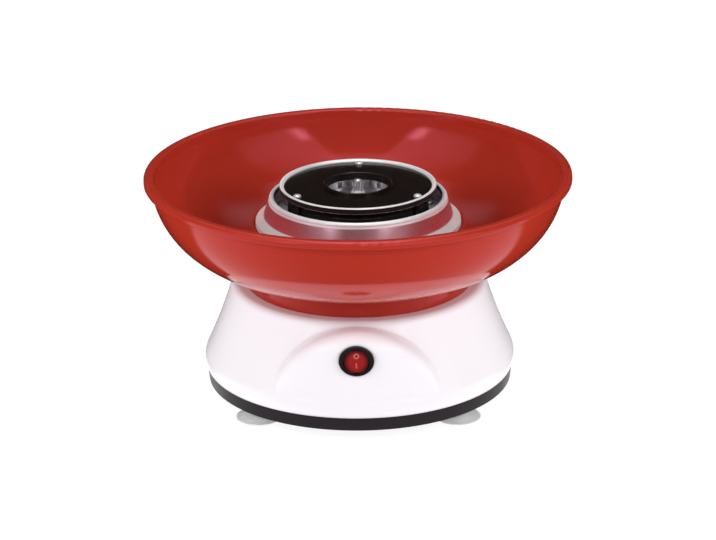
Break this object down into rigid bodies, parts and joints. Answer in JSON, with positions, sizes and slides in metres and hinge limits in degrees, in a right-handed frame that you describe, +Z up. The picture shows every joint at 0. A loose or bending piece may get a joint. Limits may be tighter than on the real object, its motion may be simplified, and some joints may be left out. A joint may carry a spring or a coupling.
{
  "type": "cotton candy machine",
  "caption": "Electric table-top cotton candy machine: white base with rocker switch, lift-off red bowl, spinning heated head inside a bright guard ring.",
  "frame": {"origin": "on the surface the feet stand on, under the spindle axis, which is the centre of the bowl", "axes": "+Z up along the spindle; -Y towards the front, where the switch is; +X to the right seen from the front"},
  "size_m": [0.2922, 0.2922, 0.1551],
  "materials": {
    "red_plastic": "gloss injection-moulded plastic, saturated red",
    "white_plastic": "gloss white moulded plastic",
    "black_plastic": "fine-textured black moulded plastic",
    "foot": "milky translucent soft vinyl",
    "switch_black": "gloss black moulded plastic",
    "rocker_red": "gloss red moulded plastic",
    "bright_aluminium": "bright polished sheet",
    "head_black": "gloss black baked coating on aluminium",
    "steel": "zinc-plated sheet and ground bar",
    "spring_steel": "bright spring strip",
    "screw_steel": "bright plated screws",
    "heater_tube": "oxidised heating-element sheath",
    "ceramic": "glazed white steatite",
    "brass": "plain brass and sintered bronze",
    "magnet": "dark sintered ferrite",
    "lamination": "stacked electrical steel",
    "copper": "enamelled copper",
    "carbon": "dark graphite and moulded epoxy",
    "grommet_rubber": "soft black rubber",
    "board": "tan paper-phenolic board",
    "capacitor": "dark blue shrink sleeve"
  },
  "bodies": {
    "base": {"suction_foot_front_left": "foot", "suction_foot_front_right": "foot", "suction_foot_back_left": "foot", "suction_foot_back_right": "foot", "base_plate": "black_plastic", "base_screws": "screw_steel", "body_shell": "white_plastic", "cord_gland": "black_plastic", "gland_nut": "black_plastic", "switch_housing": "switch_black", "switch_terminals": "brass", "heater_guard_ring": "bright_aluminium", "heater_tray": "bright_aluminium", "heat_shield": "steel", "tray_screws": "screw_steel", "tray_nuts": "screw_steel", "heater_element": "heater_tube", "heater_saddle_1": "ceramic", "heater_saddle_2": "ceramic", "heater_saddle_3": "ceramic", "heater_bushings": "ceramic", "thermal_cutoff": "ceramic", "motor_can": "steel", "motor_end_cap": "black_plastic", "upper_bearing": "brass", "lower_bearing": "brass", "motor_magnet_left": "magnet", "motor_magnet_right": "magnet", "carbon_brush_front": "carbon", "carbon_brush_back": "carbon", "motor_bracket": "steel", "motor_grommets": "grommet_rubber", "motor_mount_screws": "screw_steel", "motor_can_screws": "screw_steel", "rectifier_board": "board", "smoothing_capacitor": "capacitor", "rectifier_diodes": "carbon", "board_screws": "screw_steel", "terminal_block": "ceramic", "terminal_clamp_screws": "brass", "terminal_block_screws": "screw_steel"},
    "bowl": {"candy_bowl": "red_plastic"},
    "rotor": {"motor_shaft": "steel", "drive_pin": "steel", "shaft_slinger": "steel", "armature_core": "lamination", "armature_windings": "copper", "commutator": "copper"},
    "head": {"head_lid": "head_black", "head_rim_ring": "bright_aluminium", "head_drum": "head_black", "head_pan": "bright_aluminium", "head_hub": "bright_aluminium", "shaft_clip_right": "spring_steel", "shaft_clip_left": "spring_steel", "head_screws": "screw_steel", "head_shims": "steel"},
    "rocker": {"switch_rocker": "rocker_red"}
  },
  "joints": [
    {"name": "bowl_lift", "type": "slide", "parent": "base", "child": "bowl", "axis": [0, 0, 1], "range_m": [0, 0.1]},
    {"name": "rotor_spin", "type": "hinge", "parent": "base", "child": "rotor", "pos_m": [0, 0, 0.1], "axis": [0, 0, 1], "continuous": true},
    {"name": "head_lift", "type": "slide", "parent": "rotor", "child": "head", "axis": [0, 0, 1], "range_m": [0, 0.05]},
    {"name": "rocker_tip", "type": "hinge", "parent": "base", "child": "rocker", "pos_m": [0, -0.1052, 0.0577], "axis": [1, 0, 0], "range_deg": [0, 16]}
  ]
}
